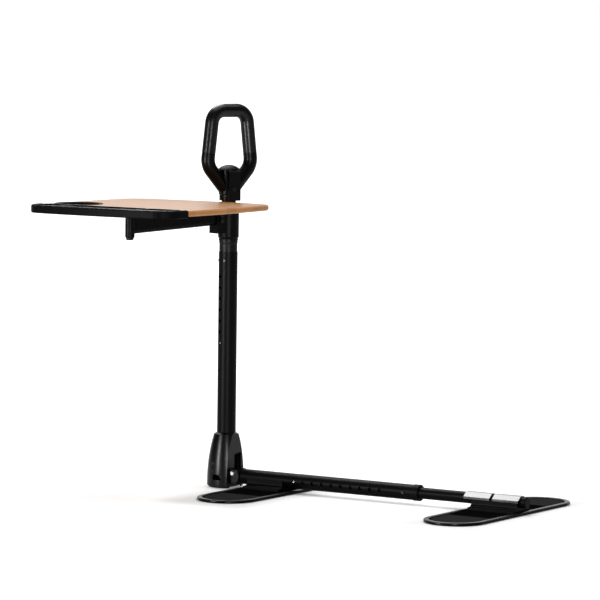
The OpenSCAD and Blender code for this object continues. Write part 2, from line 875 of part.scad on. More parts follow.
// The points where the grip's straight legs, corners and top bar meet
top_z = handle_top - grip_r;
lean_in = [-cos(grip_lean), -sin(grip_lean)];
lean_up = [-sin(grip_lean), cos(grip_lean)];
joint_point = [grip_half, grip_joint_z];
corner_y = grip_half - (grip_bend + (top_z - grip_bend - grip_joint_z) * sin(grip_lean)) / cos(grip_lean);
corner = [corner_y, top_z - grip_bend];
leg_top = corner - grip_bend * lean_in;
arc_start = joint_point - stub_l * lean_up;
arc_centre = arc_start + yoke_bend * lean_in;
arc_end = arc_centre + yoke_bend * [cos(yoke_slope), -sin(yoke_slope)];
slope_run = arc_end[0] / sin(yoke_slope);

// A bar in the plane of Y and Z between two points
module bar_between(a, b, r) {
    d = b - a;
    translate([0, a[0], a[1]]) rotate([-atan2(d[0], d[1]), 0, 0]) cylinder(h = norm(d), r = r);
}

// A bent bar about a centre in the plane of Y and Z, from one angle to another
module bent_bar(centre, bend, r, from, to) {
    translate([0, centre[0], centre[1]]) rotate([90, 0, 90]) rotate([0, 0, from])
        rotate_extrude(angle = to - from) translate([bend, 0]) circle(r + bend_lap);
}

// Draws its child on both sides of the handle
module both_sides() {
    children();
    mirror([0, 1, 0]) children();
}

module handle_grip() {
    color(satin) at_mast() difference() {
        union() {
            both_sides() bar_between(joint_point, leg_top + over * lean_up, grip_r);
            both_sides() bent_bar(corner, grip_bend, grip_r, grip_lean, 90);
            bar_between([-corner_y - over, top_z], [corner_y + over, top_z], grip_r);
        }
        both_sides() bar_between(joint_point - over * lean_up, joint_point + (spigot_l + over) * lean_up,
            spigot_r + seat_gap);
    }
}

// Y-shaped yoke: two bent arms that meet a boss with a flat spine in front
module handle_yoke() {
    slope = [sin(yoke_slope), cos(yoke_slope)];
    slope_end = arc_end - slope_run * slope;
    color(black) at_mast() difference() {
        union() {
            both_sides() bar_between(arc_start - over * lean_up, joint_point - seam_gap * lean_up, grip_r);
            both_sides() bar_between(arc_start, joint_point, grip_r - seam_sink);
            both_sides()
                bar_between(joint_point - over * lean_up, joint_point + spigot_l * lean_up, spigot_r);
            both_sides() bent_bar(arc_centre, yoke_bend, grip_r, -yoke_slope, grip_lean);
            both_sides() bar_between(slope_end, arc_end + over * slope, grip_r);
            translate([0, 0, yoke_bottom]) cylinder(h = skirt_h, r = skirt_r);
            translate([0, 0, yoke_bottom + skirt_h]) cylinder(h = 2, r1 = skirt_r, r2 = yoke_r);
            translate([0, 0, yoke_bottom + skirt_h + 2])
                cylinder(h = yoke_top - yoke_bottom - skirt_h - 2, r = yoke_r);
            translate([0, spine_w / 2, 0]) rotate([90, 0, 0]) linear_extrude(spine_w) polygon([
                [0, yoke_bottom], [spine_front, yoke_bottom], [spine_front, yoke_top - spine_bevel],
                [spine_front - spine_bevel, yoke_top], [0, yoke_top]
            ]);
        }
        translate([0, 0, yoke_bottom - 2 * yoke_r]) cylinder(h = 2 * yoke_r, r = 2 * yoke_r);
        translate([0, 0, yoke_bottom - over])
            cylinder(h = mast_top - yoke_bottom + over, r = mast_r + seat_gap);
        translate([0, 0, yoke_top]) cylinder(h = dome_h + over, r = cap_r + part_gap);
        translate([0, 0, yoke_bolt_z]) bar_x(-2 * yoke_r, 2 * yoke_r, bolt_r + hole_gap);
        translate([0, 0, yoke_bolt_z]) bar_x(spine_front - bolt_head_t, 2 * yoke_r, bolt_head_r + hole_gap);
        translate([0, 0, yoke_bolt_z]) bar_x(-2 * yoke_r, bolt_head_t - yoke_r - 2, bolt_head_r + hole_gap);
    }
}

// Domed cap on the yoke's boss
module yoke_cap() {
    dome_r = (pow(cap_r, 2) + pow(dome_h, 2)) / (2 * dome_h);
    color(black) at_mast() intersection() {
        translate([0, 0, yoke_top + dome_h - dome_r]) sphere(dome_r);
        translate([0, 0, yoke_top]) cylinder(h = dome_h, r = cap_r);
    }
}

// Bolt through the yoke and the mast, with its head sunk in the spine
module yoke_bolt() {
    color(black) at_mast() translate([0, 0, yoke_bolt_z]) {
        bar_x(bolt_head_t - yoke_r, spine_front - over, bolt_r);
        bar_x(spine_front - bolt_head_t, spine_front - over, bolt_head_r);
        bar_x(over - yoke_r, bolt_head_t - yoke_r - 2, bolt_head_r - over);
        bar_x(over - yoke_r, bolt_head_t - yoke_r + over, bolt_r);
    }
}

// Swivel and arm

// Flanged bush fixed on the mast, on which the bracket turns
module swivel_bush() {
    color(satin) at_mast() {
        ring(bush_bottom, bush_bottom + bush_flange, bush_flange_r, mast_r + seat_gap);
        ring(bush_bottom, clip_bottom + clip_t, bush_r, mast_r + seat_gap);
    }
}

// Ring that keeps the bracket on its bush
module swivel_clip() {
    color(satin) at_mast() ring(clip_bottom, clip_bottom + clip_t, bush_flange_r, bush_r + seat_gap);
}

// Bracket that turns on the bush, with a lug under the root of the arm
module swivel_bracket() {
    lug_top = arm_top - arm_root_h;
    color(black) at_arm() difference() {
        union() {
            translate([0, 0, bracket_bottom])
                cylinder(h = bracket_round, r1 = bracket_r - bracket_round / 2, r2 = bracket_r);
            translate([0, 0, bracket_bottom + bracket_round])
                cylinder(h = bracket_top - bracket_bottom - bracket_round, r = bracket_r);
            translate([0, -lug_w / 2, lug_top - lug_h]) cube([lug_out, lug_w, lug_h]);
            for (s = [-1, 1]) translate([0, s * (arm_w / 2 + seat_gap) - (s < 0 ? 5 : 0), lug_top - over])
                cube([lug_out, 5, arm_root_h + over]);
        }
        translate([0, 0, bracket_bottom - over])
            cylinder(h = bracket_top - bracket_bottom + 2 * over, r = bush_r + run_gap);
        translate([bracket_r - 1, -arm_w / 2 - seat_gap, lug_top])
            cube([lug_out, arm_w + 2 * seat_gap, arm_root_h + over]);
        bracket_bolt_cut();
    }
}

bracket_bolt_x = bracket_r + 10;
bracket_bolt_z = [arm_top - 10, arm_top - 22];

module bracket_bolt_cut() {
    for (z = bracket_bolt_z) translate([bracket_bolt_x, 0, z]) bar_y(-lug_w, lug_w, bolt_r + hole_gap);
}

// Bolts that hold the arm in the bracket's cheeks
module bracket_bolts() {
    cheek = arm_w / 2 + seat_gap + 5;
    color(black) at_arm() for (z = bracket_bolt_z) translate([bracket_bolt_x, 0, z]) {
        bar_y(-cheek - over, cheek + over, bolt_r);
        bar_y(-cheek - bolt_head_t, -cheek, bolt_head_r);
        translate([0, cheek, 0]) rotate([-90, 0, 0]) cylinder(h = bolt_head_t, r = bolt_head_r, $fn = 6);
    }
}

// The arm's section: flat sides over a half-round belly, drawn with its depth along X
module arm_section() {
    translate([-arm_tip_h, -arm_w / 2]) square([arm_tip_h, arm_w]);
    circle(arm_w / 2);
}

// Tapered arm, deepest at the pivot
module tray_arm() {
    slope = atan((arm_tip_h - arm_root_h) / (arm_l - arm_start));
    belly_z = arm_top - arm_root_h + arm_w / (2 * cos(slope));
    color(black) at_arm() difference() {
        translate([arm_start, 0, belly_z]) rotate([0, 90 + slope, 0]) linear_extrude(arm_l - arm_start)
            arm_section();
        translate([0, -arm_w, arm_top]) cube([2 * arm_l, 2 * arm_w, arm_tip_h]);
        translate([-arm_l, -arm_w, 0]) cube([arm_l + bracket_r - 1 + seat_gap, 2 * arm_w, 2 * arm_top]);
        translate([0, 0, barrel_bottom - over]) cylinder(h = arm_top, r = bracket_r + seat_gap);
        translate([arm_l, 0, barrel_bottom - over]) cylinder(h = arm_top, r = barrel_r + seat_gap);
        translate([arm_l, -arm_w, 0]) cube([arm_l, 2 * arm_w, 2 * arm_top]);
        translate([0, -arm_w, 0]) cube([lug_out, 2 * arm_w, arm_top - arm_root_h]);
        bracket_bolt_cut();
    }
}

// Upright barrel at the end of the arm
module pivot_barrel() {
    color(black) at_arm() translate([arm_l, 0, 0]) difference() {
        union() {
            translate([0, 0, barrel_bottom]) cylinder(h = edge_r, r1 = barrel_r - edge_r, r2 = barrel_r);
            translate([0, 0, barrel_bottom + edge_r])
                cylinder(h = barrel_top - barrel_bottom - edge_r, r = barrel_r);
        }
        translate([0, 0, barrel_bottom - over])
            cylinder(h = barrel_top - barrel_bottom + 2 * over, r = barrel_bore);
    }
}

// Plastic bushes at the top and bottom of the barrel
module barrel_bushes() {
    color(satin) at_arm() translate([arm_l, 0, 0]) {
        ring(barrel_bottom, barrel_bottom + bush_l, barrel_bore - seat_gap, pivot_r + run_gap);
        ring(barrel_top - bush_l, barrel_top, barrel_bore - seat_gap, pivot_r + run_gap);
    }
}

// Tray, drawn about the pivot

// Steel plate under the board with the pivot pin welded to it
module tray_plate() {
    color(black) at_tray() difference() {
        union() {
            translate([0, plate_y, plate_bottom]) linear_extrude(tray_plate_t)
                round_rect(plate_w, plate_l, plate_corner);
            translate([0, 0, barrel_bottom - part_gap - nut_h])
                cylinder(h = plate_bottom - barrel_bottom + part_gap + nut_h + over, r = pivot_r);
        }
        for (p = tray_screw_places) translate([p[0], p[1], 0])
            cylinder(h = 2 * tray_top, r = screw_r + seat_gap);
    }
}

tray_screw_places = [for (sx = [-1, 1], sy = [-1, 1]) [sx * tray_screw_x, plate_y + sy * tray_screw_y]];

module pivot_washer() {
    color(satin) at_tray() ring(washer_bottom, plate_bottom, washer_r, pivot_r + seat_gap);
}

// Dome nut that keeps the pin in the barrel
module pivot_nut() {
    nut_top = barrel_bottom - part_gap;
    color(satin) at_tray() difference() {
        union() {
            translate([0, 0, nut_top - nut_h + 2]) cylinder(h = nut_h - 2, r = nut_r);
            translate([0, 0, nut_top - nut_h]) cylinder(h = 2, r1 = nut_r - 2, r2 = nut_r);
        }
        translate([0, 0, nut_top - nut_h - over]) cylinder(h = nut_h + 2 * over, r = pivot_r + seat_gap);
    }
}

module tray_screws() {
    color(steel) at_tray() for (p = tray_screw_places) translate([p[0], p[1], 0]) {
        translate([0, 0, plate_bottom - screw_head_t]) cylinder(h = screw_head_t, r = screw_head_r);
        translate([0, 0, plate_bottom - over]) cylinder(h = tray_screw_l + over, r = screw_r);
    }
}

// Points of the tray's outline: round corners, and edges that bow outwards
steps = 9;
function corner_points(sx, sy, inset) = [
    for (k = [0 : steps])
        let (a = 90 * k / steps, r = tray_corner)
        [
            sx * (tray_w / 2 - tray_bow - r + (r - inset) * (sx * sy > 0 ? cos(a) : sin(a))),
            sy * (tray_l / 2 - tray_bow - r + (r - inset) * (sx * sy > 0 ? sin(a) : cos(a)))
        ]
];
function edge_points(a, b, out) = [
    for (k = [1 : steps - 1])
        let (t = k / steps)
        a * (1 - t) + b * t + out * 4 * t * (1 - t) * tray_bow
];
function tray_points(inset) =
    let (
        c1 = corner_points(1, 1, inset),
        c2 = corner_points(-1, 1, inset),
        c3 = corner_points(-1, -1, inset),
        c4 = corner_points(1, -1, inset)
    )
    concat(
        c1, edge_points(c1[steps], c2[0], [0, 1]), c2, edge_points(c2[steps], c3[0], [-1, 0]),
        c3, edge_points(c3[steps], c4[0], [0, -1]), c4, edge_points(c4[steps], c1[0], [1, 0])
    );

// A slab of the tray's outline with bevelled edges
module tray_slab(z0, z1, edge) {
    thin = 0.01;
    translate([tray_cx, tray_cy, 0]) hull() {
        translate([0, 0, z0]) linear_extrude(thin) polygon(tray_points(edge));
        translate([0, 0, z0 + edge]) linear_extrude(z1 - z0 - 2 * edge) polygon(tray_points(0));
        translate([0, 0, z1 - thin]) linear_extrude(thin) polygon(tray_points(edge));
    }
}

// Bamboo board, straight where the organiser joins it
module tray_board() {
    color(bamboo) at_tray() difference() {
        tray_slab(tray_bottom, tray_top, board_edge);
        translate([tray_cx - tray_w, organiser_y - tray_l, 0]) cube([2 * tray_w, tray_l, 2 * tray_top]);
        translate([cup_x, cup_y, 0]) cylinder(h = 2 * tray_top, r = cup_r + cup_wall + seat_gap);
        translate([cup_x, cup_y, tray_top + cup_lip_rise - cup_lip_t])
            cylinder(h = tray_top, r = cup_r + cup_wall + cup_lip + seat_gap);
        for (p = concat(tray_screw_places, organiser_screw_places)) translate([p[0], p[1], 0])
            cylinder(h = plate_bottom + tray_screw_l + 0.5, r = screw_r + seat_gap);
    }
}

organiser_screw_places = [for (t = [-0.3, 0, 0.3]) [tray_cx + t * tray_w, organiser_y + tongue_w / 2]];
cell_low = tray_cy - tray_l / 2 + tray_bow;
cell_back = organiser_y - organiser_wall;

// One rounded compartment, from x0 to x1 inside the organiser's walls
module cell(x0, x1) {
    r = 8;
    y0 = cell_low + organiser_wall + 8;
    translate([(x0 + x1) / 2, (y0 + cell_back) / 2, cell_floor]) linear_extrude(organiser_h)
        round_rect(x1 - x0, cell_back - y0, r);
}

// Ends of the compartments along X
organiser_x0 = tray_cx - tray_w / 2 + tray_bow;
organiser_x1 = tray_cx + tray_w / 2 - tray_bow;
cell_1 = [organiser_x0 + 16, organiser_x0 + 16 + small_cell];
cell_3 = [organiser_x1 - 16 - right_cell, organiser_x1 - 16];
cell_2 = [cell_1[1] + divider_w, cell_3[0] - slit_w];

// Moulded organiser along the near edge, with a tongue under the board
module organiser() {
    color(black) at_tray() difference() {
        union() {
            difference() {
                tray_slab(organiser_top - organiser_h, organiser_top, organiser_edge);
                translate([tray_cx - tray_w, organiser_y, 0]) cube([2 * tray_w, tray_l, 2 * tray_top]);
            }
            translate([organiser_x0 + 20, organiser_y - over, tray_bottom - tongue_t])
                cube([organiser_x1 - organiser_x0 - 40, tongue_w + over, tongue_t]);
        }
        for (c = [cell_1, cell_2, cell_3]) cell(c[0], c[1]);
        for (p = organiser_screw_places) translate([p[0], p[1], 0])
            cylinder(h = 2 * tray_top, r = screw_r + seat_gap);
    }
}

module organiser_screws() {
    color(steel) at_tray() for (p = organiser_screw_places) translate([p[0], p[1], tray_bottom - tongue_t]) {
        translate([0, 0, -screw_head_t]) cylinder(h = screw_head_t, r = screw_head_r);
        translate([0, 0, -over]) cylinder(h = tray_screw_l - 1, r = screw_r);
    }
}

// Round cup holder let into the board, with a lip on top
module cup_holder() {
    lip_top = tray_top + cup_lip_rise;
    color(black) at_tray() translate([cup_x, cup_y, 0]) difference() {
        union() {
            translate([0, 0, lip_top - cup_depth - cup_floor_t])
                cylinder(h = cup_depth + cup_floor_t, r = cup_r + cup_wall);
            translate([0, 0, lip_top - cup_lip_t])
                cylinder(h = cup_lip_t, r = cup_r + cup_wall + cup_lip);
        }
        translate([0, 0, lip_top - cup_depth]) cylinder(h = cup_depth + over, r = cup_r);
    }
}

near_foot_plate();
near_foot_sole();
near_foot_pads();
near_saddle();
near_saddle_screws();
far_foot_plate();
far_foot_sole();
far_foot_pads();
far_saddle();
far_clamp_inner();
far_clamp_outer();
far_clamp_screws();
rail_tube();
rail_collar();
rail_collar_screw();
leg_tube();
leg_guide();
leg_end_plug();
rail_snap_button();
rail_button_spring();
hub_fork();
hub_cover_near();
hub_cover_far();
hub_front_bolt();
hub_rear_bolt();
hub_cover_screws();
post_pin();
post_tube();
post_collar();
post_collar_rivets();
mast_tube();
mast_guide();
post_snap_button();
post_button_spring();
handle_yoke();
handle_grip();
yoke_cap();
yoke_bolt();
swivel_bush();
swivel_clip();
swivel_bracket();
bracket_bolts();
tray_arm();
pivot_barrel();
barrel_bushes();
tray_plate();
pivot_washer();
pivot_nut();
tray_screws();
tray_board();
organiser();
organiser_screws();
cup_holder();
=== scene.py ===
"""Looks for a stand-assist handle with a swivelling tray: finishes, moulded detail, light and camera."""

import json
import math

import bmesh
import bpy
import numpy as np
from mathutils import Matrix, Vector


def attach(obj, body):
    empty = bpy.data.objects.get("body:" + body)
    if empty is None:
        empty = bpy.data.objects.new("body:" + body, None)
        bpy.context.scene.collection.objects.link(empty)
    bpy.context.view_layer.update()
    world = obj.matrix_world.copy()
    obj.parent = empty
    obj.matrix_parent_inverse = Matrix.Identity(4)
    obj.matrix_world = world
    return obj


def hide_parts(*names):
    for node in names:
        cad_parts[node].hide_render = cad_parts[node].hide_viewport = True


bl_info = {
    "name": "Stand Handle Dressing",
    "version": (1, 0, 0),
    "blender": (4, 5, 0),
    "location": "View3D > Sidebar > Stand Handle",
    "description": "Dresses the packed stand-assist handle with finishes, moulded detail and a plain studio",
    "category": "Object",
}

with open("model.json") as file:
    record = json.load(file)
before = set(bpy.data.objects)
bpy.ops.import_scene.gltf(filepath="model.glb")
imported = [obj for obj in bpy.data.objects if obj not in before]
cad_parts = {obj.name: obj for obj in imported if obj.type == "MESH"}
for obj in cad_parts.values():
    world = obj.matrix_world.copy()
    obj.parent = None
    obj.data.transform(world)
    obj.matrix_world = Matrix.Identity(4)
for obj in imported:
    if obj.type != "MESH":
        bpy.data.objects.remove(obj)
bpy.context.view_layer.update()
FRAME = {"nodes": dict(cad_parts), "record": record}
NODES = FRAME["nodes"]

# Sizes of the solids, in metres
POST_X = -0.127
FOOT_PITCH = 0.579
FOOT_LENGTH = 0.500
FOOT_WIDTH = 0.138
SOLE = 0.002
PLATE_FLOOR = 0.005
PLATE_TOP = 0.007
RIM_WIDTH = 0.012
PAD_START = 0.125
PAD_TOP = 0.006
TRAY_CENTRE = (-0.169, -0.246)
TRAY_SIZE = (0.404, 0.440)
TRAY_BOW = 0.008
TRAY_CORNER = 0.050
BIN_BACK = -0.386
BIN_TOP = 0.646
CELL_Y = (-0.447, -0.389)
CELL_X = ((-0.347, -0.285), (-0.265, -0.079), (-0.069, 0.009))
CELL_CORNER = 0.008

# Fine sizes of the new pieces, in metres
UNDER_ROUND = 0.0012
UNDER_RING = 0.020
RIM_ROUND = 0.0036
RIM_INNER_ROUND = 0.0022
PAD_GAP = 0.004
PAD_BORDER = 0.003
PAD_SINK = 0.0002
PAD_BASE_SHARE = 0.55
LIP_INSET = 0.002
LIP_BACK_GAP = 0.0015
LIP_SINK = 0.0004
MERGE_REACH = 1e-6
NO_AREA = 1e-7

# Patterns of the skins: depth in metres, repeats in a metre, and the roughness's spread as a share of itself
RELIEF_DEPTH = 0.0004
BROAD_SCALE = 22.0
ROUGHNESS_SPREAD = 0.2

# Patterns of the bamboo: strips with their glue lines, fibres along them, and growth nodes across them
STRIP_WIDTH = 0.019
STRIP_SHARE = 0.45
DARK_STRIP = 0.62
LIGHT_STRIP = 1.16
MIDDLE_STRIP = 0.45
GLUE_WIDTH = 0.05
GLUE_SHADE = 0.72
FIBRE_SCALE = (12.0, 900.0, 900.0)
FIBRE_SHARE = 0.62
FIBRE_BUMP = 0.12
KNUCKLES_PER_METRE = 4.2
KNUCKLE_SHIFT = 7.3
KNUCKLE_PEAK = 0.012
KNUCKLE_END = 0.03
KNUCKLE_WEIGHT = 0.45
KNUCKLE_SHADE = 0.5

# The stage: the floor's lift, a painted white glow that the camera sees and that washes out the floor's
# shadows away from the feet, over distances from the nearer foot in metres, its reach and its level, then
# where the white backdrop starts in reflections and how much of the soft light they lose
SHADOW_REACH = (0.0, 0.09)
NEAR_LIFT = 0.4
WHITE_REACH = (0.6, 1.6)
FAR_LIFT = 0.6
FLOOR_REACH = 30.0
FLOOR_LEVEL = -0.0005
BACKDROP_EDGE = (0.55, 0.85)
GLOSSY_DIM = 0.87

# The camera's frame: sensor in millimetres, pixels across, and pixels from the post to the frame's middle
SENSOR = 36.0
FRAME_PIXELS = 600
FRAME_SHIFT = (72.21, 3.33)
LOOK_HEIGHT = 0.430


# Mesh helpers


def grid_faces(rows, cols, close_rows=False, close_cols=False):
    """Quads of a grid of rows by cols points, joined across an end where it closes."""
    r = np.arange(rows if close_rows else rows - 1)
    c = np.arange(cols if close_cols else cols - 1)
    r, c = np.meshgrid(r, c, indexing="ij")
    r1, c1 = (r + 1) % rows, (c + 1) % cols
    quads = np.stack([r * cols + c, r * cols + c1, r1 * cols + c1, r1 * cols + c], axis=-1)
    return quads.reshape(-1, 4)


def arc_points(centre, radius, start, end, steps):
    """Points on an arc between two angles in degrees: the centre plus the radius times cosine and sine."""
    angle = np.radians(np.linspace(start, end, steps))
    return np.stack([centre[0] + radius * np.cos(angle), centre[1] + radius * np.sin(angle)], axis=-1)


def oblong_path(width, length, steps):
    """Centres and outward directions round an oblong with round ends: half a turn about each end's centre."""
    turn = np.linspace(0.0, math.pi, steps)
    angles = np.concatenate([turn, turn + math.pi])
    reach = (length - width) / 2
    centres = np.stack([np.zeros(2 * steps), np.repeat([reach, -reach], steps)], axis=-1)
    return centres, np.stack([np.cos(angles), np.sin(angles)], axis=-1)


def oblong_sweep(profile, width, length, steps=48):
    """Carries a profile of (distance from the middle line, height) round an oblong, as a closed grid."""
    centres, out = oblong_path(width, length, steps)
    flat = centres[:, None, :] + out[:, None, :] * profile[None, :, :1]
    tall = np.broadcast_to(profile[None, :, 1:], (len(centres), len(profile), 1))
    return np.concatenate([flat, tall], axis=-1), grid_faces(len(centres), len(profile), close_rows=True)


def rounded_loop(x_range, y_range, corner, grow, steps=10):
    """A closed rectangle with round corners, grown outwards: a quarter turn about each corner's centre."""
    turn = np.linspace(0.0, math.pi / 2, steps)
    angles = (turn[None, :] + math.pi / 2 * np.arange(4)[:, None]).ravel()
    right, top = x_range[1] - corner, y_range[1] - corner
    left, bottom = x_range[0] + corner, y_range[0] + corner
    x = np.repeat([right, left, left, right], steps) + (corner + grow) * np.cos(angles)
    y = np.repeat([top, top, bottom, bottom], steps) + (corner + grow) * np.sin(angles)
    return np.stack([x, y], axis=-1)


def tray_front(inset, steps=24):
    """The tray's outline from its left side round the front to its right side: a corner arc, a shallow bow
    whose depth is four t times one less t, and the other arc, each drawn in by the inset."""
    reach_x = TRAY_SIZE[0] / 2 - TRAY_BOW - TRAY_CORNER
    reach_y = TRAY_SIZE[1] / 2 - TRAY_BOW - TRAY_CORNER
    radius = TRAY_CORNER - inset
    turn = np.linspace(math.pi, 1.5 * math.pi, steps)
    left = np.stack([-reach_x + radius * np.cos(turn), -reach_y + radius * np.sin(turn)], axis=-1)
    t = np.linspace(0.0, 1.0, steps + 2)[1:-1]
    bow = np.stack([reach_x * (2 * t - 1), -reach_y - radius - 4 * TRAY_BOW * t * (1 - t)], axis=-1)
    right = left[::-1] * np.array([-1.0, 1.0])
    back = BIN_BACK - LIP_BACK_GAP - TRAY_CENTRE[1]
    ends = np.array([[left[0, 0], back], [right[-1, 0], back]])
    path = np.concatenate([ends[:1], left, bow, right, ends[1:]])
    return path + np.array(TRAY_CENTRE)


def bead(path, radius, height, closed, steps=8):
    """A half-round bead carried along a flat path: the section is half a circle across the path, standing on
    the height, with its foot a little below it. Gives the points, the quads and the caps of open ends."""
    ahead = np.roll(path, -1, axis=0) - np.roll(path, 1, axis=0)
    if not closed:
        ahead[0], ahead[-1] = path[1] - path[0], path[-1] - path[-2]
    ahead /= np.linalg.norm(ahead, axis=1, keepdims=True)
    across = np.stack([ahead[:, 1], -ahead[:, 0]], axis=-1)
    angle = np.linspace(0.0, math.pi, steps)
    wide = np.concatenate([[radius], radius * np.cos(angle), [-radius]])
    tall = np.concatenate([[-LIP_SINK], radius * np.sin(angle), [-LIP_SINK]])
    flat = path[:, None, :] + across[:, None, :] * wide[None, :, None]
    rise = np.broadcast_to((height + tall)[None, :, None], (*flat.shape[:2], 1))
    points = np.concatenate([flat, rise], axis=-1).reshape(-1, 3)
    section = np.arange(len(wide))
    caps = [] if closed else [section[::-1], section + len(points) - len(wide)]
    return points, grid_faces(len(path), len(wide), close_rows=closed, close_cols=True), caps


def put_mesh(name, points, faces, material, smooth=True):
    """An object at the origin whose place is in its mesh."""
    mesh = bpy.data.meshes.new(name)
    mesh.from_pydata(np.reshape(points, (-1, 3)).tolist(), [], faces)
    mesh.validate()
    mesh.update()
    if smooth:
        mesh.shade_smooth()
    mesh.materials.append(material)
    obj = bpy.data.objects.new(name, mesh)
    bpy.context.scene.collection.objects.link(obj)
    return obj


def close_seams(obj):
    """Merges points that meet at seams and poles, drops faces without area and turns the rest outwards."""
    shape = bmesh.new()
    shape.from_mesh(obj.data)
    bmesh.ops.remove_doubles(shape, verts=shape.verts, dist=MERGE_REACH)
    bmesh.ops.dissolve_degenerate(shape, edges=shape.edges, dist=NO_AREA)
    bmesh.ops.recalc_face_normals(shape, faces=shape.faces)
    shape.to_mesh(obj.data)
    shape.free()


# Shader helpers


def fill(tree, node, inputs):
    """Links a socket to each named or numbered input, or sets a plain value on it."""
    for key, value in inputs.items():
        if isinstance(value, bpy.types.NodeSocket):
            tree.links.new(value, node.inputs[key])
        else:
            node.inputs[key].default_value = value


def add_node(tree, kind, place, inputs=None, **settings):
    """A node at a place, with its settings and its inputs."""
    made = tree.nodes.new(kind)
    made.location = place
    for key, value in settings.items():
        setattr(made, key, value)
    fill(tree, made, inputs or {})
    return made


def maths(tree, place, operation, *values):
    """A Math node's output, with the inputs in order."""
    made = add_node(tree, "ShaderNodeMath", place, dict(enumerate(values)), operation=operation)
    return made.outputs[0]


def vectors(tree, place, operation, *values):
    """A Vector Math node's output, with the inputs in order."""
    made = add_node(tree, "ShaderNodeVectorMath", place, dict(enumerate(values)), operation=operation)
    return made.outputs["Value" if operation in {"LENGTH", "DOT_PRODUCT"} else "Vector"]


def soft_step(tree, place, value, across, heights):
    """A smooth step from one height to another while the value goes across a range."""
    made = add_node(tree, "ShaderNodeMapRange", place, interpolation_type="SMOOTHSTEP")
    fill(tree, made, {
        "Value": value, "From Min": across[0], "From Max": across[1],
        "To Min": heights[0], "To Max": heights[1],
    })
    return made.outputs[0]


def ramp(tree, place, value, stops):
    """A colour ramp's output over a value, with its stops as (position, colour)."""
    made = add_node(tree, "ShaderNodeValToRGB", place, {"Fac": value})
    band = made.color_ramp
    while len(band.elements) < len(stops):
        band.elements.new(0.5)
    for element, (position, colour) in zip(band.elements, stops):
        element.position = position
        element.color = (*colour, 1)
    return made.outputs["Color"]


def seen_straight(tree, place, path):
    """One for the camera's own rays and those that passed through something, from a Light Path node."""
    return maths(tree, place, "MAXIMUM", path.outputs["Is Camera Ray"], path.outputs["Is Transmission Ray"])


def new_material(name):
    """A material, its nodes, its Principled shader and the Object coordinates that its patterns hang on."""
    material = bpy.data.materials.new(name)
    material.use_nodes = True
    tree = material.node_tree
    tree.nodes.clear()
    shader = add_node(tree, "ShaderNodeBsdfPrincipled", (560, 0))
    add_node(tree, "ShaderNodeOutputMaterial", (900, 0), {"Surface": shader.outputs["BSDF"]})
    where = add_node(tree, "ShaderNodeTexCoord", (-900, 0)).outputs["Object"]
    return material, tree, shader, where


def skin_variation():
    """The group that all skins share: a broad noise shifts the shade and the roughness about their middle
    values, and a fine noise is the relief's height."""
    found = bpy.data.node_groups.get("skin_variation")
    if found:
        return found
    group = bpy.data.node_groups.new("skin_variation", "ShaderNodeTree")
    sockets = (
        ("INPUT", "Vector", "NodeSocketVector"),
        ("INPUT", "Colour", "NodeSocketColor"),
        ("INPUT", "Shade Spread", "NodeSocketFloat"),
        ("INPUT", "Roughness", "NodeSocketFloat"),
        ("INPUT", "Roughness Spread", "NodeSocketFloat"),
        ("INPUT", "Grain Scale", "NodeSocketFloat"),
        ("OUTPUT", "Colour", "NodeSocketColor"),
        ("OUTPUT", "Roughness", "NodeSocketFloat"),
        ("OUTPUT", "Height", "NodeSocketFloat"),
    )
    for way, name, kind in sockets:
        group.interface.new_socket(name=name, in_out=way, socket_type=kind)
    given = add_node(group, "NodeGroupInput", (-900, 0)).outputs
    broad = add_node(group, "ShaderNodeTexNoise", (-600, 200), {
        "Vector": given["Vector"], "Scale": BROAD_SCALE, "Detail": 4.0,
    }).outputs["Fac"]
    grain = add_node(group, "ShaderNodeTexNoise", (-600, -200), {
        "Vector": given["Vector"], "Scale": given["Grain Scale"], "Detail": 2.0,
    }).outputs["Fac"]
    centred = maths(group, (-380, 200), "SUBTRACT", broad, 0.5)
    shade = maths(group, (-200, 260), "MULTIPLY_ADD", centred, given["Shade Spread"], 1.0)
    tint = add_node(group, "ShaderNodeVectorMath", (60, 260), operation="SCALE")
    fill(group, tint, {0: given["Colour"], "Scale": shade})
    rough = maths(group, (60, 0), "MULTIPLY_ADD", centred, given["Roughness Spread"], given["Roughness"])
    add_node(group, "NodeGroupOutput", (700, 0), {
        "Colour": tint.outputs[0], "Roughness": rough, "Height": grain,
    })
    return group


def skin_material(name, colour, roughness, grain, bump, specular, metallic=0.0, spread=0.25):
    """A coated, moulded or plated skin: the shared variation and a fine relief."""
    material, tree, shader, where = new_material(name)
    skin = add_node(tree, "ShaderNodeGroup", (-300, 0), node_tree=skin_variation())
    fill(tree, skin, {
        "Vector": where, "Colour": (*colour, 1), "Shade Spread": spread, "Roughness": roughness,
        "Roughness Spread": ROUGHNESS_SPREAD * roughness, "Grain Scale": grain,
    })
    relief = add_node(tree, "ShaderNodeBump", (200, -260), {
        "Strength": bump, "Distance": RELIEF_DEPTH, "Height": skin.outputs["Height"],
    })
    fill(tree, shader, {
        "Base Color": skin.outputs["Colour"], "Roughness": skin.outputs["Roughness"],
        "Normal": relief.outputs["Normal"], "Metallic": metallic, "Specular IOR Level": specular,
    })
    return material


